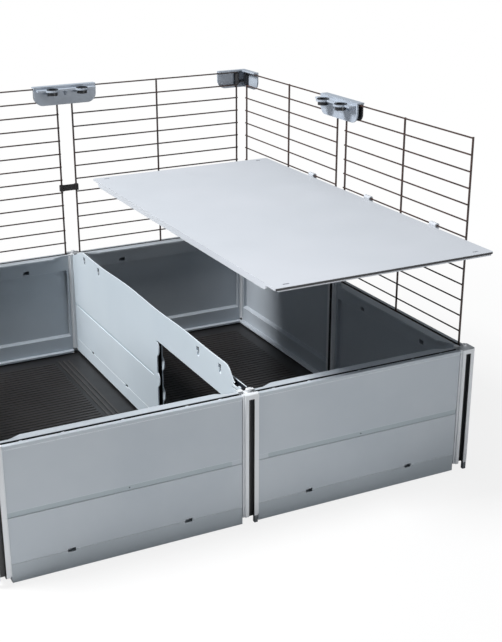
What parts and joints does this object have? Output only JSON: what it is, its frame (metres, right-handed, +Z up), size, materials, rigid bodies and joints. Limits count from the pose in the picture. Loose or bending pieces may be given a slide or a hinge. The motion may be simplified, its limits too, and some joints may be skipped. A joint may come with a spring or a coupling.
{
  "type": "rabbit cage",
  "caption": "Modular indoor rabbit cage: moulded base walls joined by grooved posts, wire nets clipped along the top, a divider with a doorway and a hanging shelf.",
  "frame": {"origin": "on the floor, midway between the four corner posts, on the underside of the floor sheets' lap joint", "axes": "+X right along the front, +Y to the back, +Z up"},
  "size_m": [0.734, 0.782, 0.5046],
  "materials": {
    "wall_grey": "moulded grey plastic, fine satin",
    "post_grey": "light grey extruded plastic, satin",
    "foot_dark": "dark moulded plastic",
    "divider_grey": "light blue-grey moulded plastic, satin",
    "shelf_grey": "pale grey moulded plastic, satin",
    "floor_black": "near-black ribbed plastic sheet",
    "wire_brown": "dark brown painted steel wire",
    "tie_dark": "dark moulded plastic",
    "clip_grey": "grey moulded plastic, satin",
    "clip_dark": "dark moulded plastic"
  },
  "bodies": {
    "base": {"floor_left": "floor_black", "floor_right": "floor_black", "post_back_left": "post_grey", "post_back_mid": "post_grey", "post_back_right": "post_grey", "post_feet": "foot_dark", "post_front_left": "post_grey", "post_front_mid": "post_grey", "post_front_right": "post_grey", "post_left_mid": "post_grey", "post_right_mid": "post_grey", "wall_back_left": "wall_grey", "wall_back_right": "wall_grey", "wall_front_left": "wall_grey", "wall_front_right": "wall_grey", "wall_left_back": "wall_grey", "wall_left_front": "wall_grey", "wall_right_back": "wall_grey", "wall_right_front": "wall_grey"},
    "netting": {"clip_corner_left": "clip_grey", "clip_corner_left_hooks": "clip_dark", "clip_corner_right": "clip_grey", "clip_corner_right_hooks": "clip_dark", "net_back_left": "wire_brown", "net_back_right": "wire_brown", "net_left_back": "wire_brown", "net_left_front": "wire_brown", "net_right_back": "wire_brown", "net_right_front": "wire_brown", "tie_back": "tie_dark", "tie_left": "tie_dark", "tie_right": "tie_dark"},
    "divider": {"divider_panel": "divider_grey"},
    "shelf": {"shelf_plate": "shelf_grey", "shelf_hooks": "shelf_grey"},
    "clip_back": {"clip_back": "clip_grey", "clip_back_clamp": "clip_dark", "clip_back_cups": "clip_dark"},
    "clip_left": {"clip_left": "clip_grey", "clip_left_clamp": "clip_dark", "clip_left_cups": "clip_dark"},
    "clip_right": {"clip_right": "clip_grey", "clip_right_clamp": "clip_dark", "clip_right_cups": "clip_dark"}
  },
  "joints": [
    {"name": "netting_lift", "type": "slide", "parent": "base", "child": "netting", "axis": [0, 0, 1], "range_m": [0, 0.05]},
    {"name": "divider_lift", "type": "slide", "parent": "base", "child": "divider", "axis": [0, 0, 1], "range_m": [0, 0.2]},
    {"name": "shelf_swing", "type": "hinge", "parent": "netting", "child": "shelf", "pos_m": [0.3539, 0, 0.3587], "axis": [0, 1, 0], "range_deg": [0, 70]},
    {"name": "clip_back_lift", "type": "slide", "parent": "netting", "child": "clip_back", "axis": [0, 0, 1], "range_m": [0, 0.04]},
    {"name": "clip_left_lift", "type": "slide", "parent": "netting", "child": "clip_left", "axis": [0, 0, 1], "range_m": [0, 0.04]},
    {"name": "clip_right_lift", "type": "slide", "parent": "netting", "child": "clip_right", "axis": [0, 0, 1], "range_m": [0, 0.04]}
  ]
}
